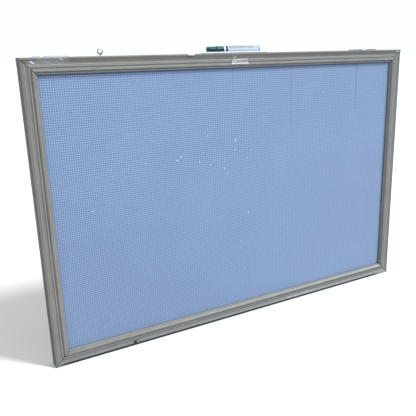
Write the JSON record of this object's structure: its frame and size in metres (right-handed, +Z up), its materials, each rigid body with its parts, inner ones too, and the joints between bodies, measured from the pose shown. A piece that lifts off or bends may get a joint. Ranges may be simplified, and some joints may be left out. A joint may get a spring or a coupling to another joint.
{
  "type": "felt board",
  "caption": "Felt-faced notice board in a mitred, moulded wooden frame, with a hanging eye and a capped marker lying on its top rail.",
  "frame": {"origin": "middle of the board's bottom edge, on the surface it stands on, halfway through the frame's depth", "axes": "+X to the right along the bottom rail as seen from the front, -Y out of the felt, +Z up the stiles"},
  "size_m": [0.915, 0.0286, 0.6249],
  "materials": {
    "greige_wood": "greige satin lacquer over a fine straight grain",
    "blue_felt": "matt powder-blue felt with a fine square pattern",
    "softboard": "raw fibre",
    "hardboard": "raw, brown",
    "zinc_steel": "bright zinc",
    "white_plastic": "gloss",
    "barrel_plastic": "gloss, white with a dark band by the collar",
    "green_plastic": "gloss",
    "dark_plastic": "satin",
    "ink_fibre": "fibre soaked with ink",
    "clear_film": "clear, glossy"
  },
  "bodies": {
    "board": {"top_rail": "greige_wood", "bottom_rail": "greige_wood", "left_stile": "greige_wood", "right_stile": "greige_wood", "v_nail_top_left_outer": "zinc_steel", "v_nail_top_left_inner": "zinc_steel", "v_nail_top_right_outer": "zinc_steel", "v_nail_top_right_inner": "zinc_steel", "v_nail_bottom_right_outer": "zinc_steel", "v_nail_bottom_right_inner": "zinc_steel", "v_nail_bottom_left_outer": "zinc_steel", "v_nail_bottom_left_inner": "zinc_steel", "framing_point_top_rail_1": "zinc_steel", "framing_point_top_rail_2": "zinc_steel", "framing_point_top_rail_3": "zinc_steel", "framing_point_top_rail_4": "zinc_steel", "framing_point_bottom_rail_1": "zinc_steel", "framing_point_bottom_rail_2": "zinc_steel", "framing_point_bottom_rail_3": "zinc_steel", "framing_point_bottom_rail_4": "zinc_steel", "framing_point_left_stile_1": "zinc_steel", "framing_point_left_stile_2": "zinc_steel", "framing_point_left_stile_3": "zinc_steel", "framing_point_right_stile_1": "zinc_steel", "framing_point_right_stile_2": "zinc_steel", "framing_point_right_stile_3": "zinc_steel", "felt_facing": "blue_felt", "softboard_core": "softboard", "back_board": "hardboard", "hanging_eye": "zinc_steel", "marker_tape": "clear_film", "left_film": "clear_film", "marker_film": "clear_film", "right_film": "clear_film"},
    "marker": {"marker_barrel": "barrel_plastic", "marker_nib_holder": "white_plastic", "marker_nib": "ink_fibre", "marker_reservoir": "ink_fibre", "marker_end_plug": "dark_plastic"},
    "cap": {"marker_cap": "green_plastic"}
  },
  "joints": [
    {"name": "marker_lift", "type": "slide", "parent": "board", "child": "marker", "axis": [0, 0, 1], "range_m": [0, 0.1]},
    {"name": "cap_pull", "type": "slide", "parent": "marker", "child": "cap", "axis": [-1, 0, 0], "range_m": [0, 0.05]}
  ]
}
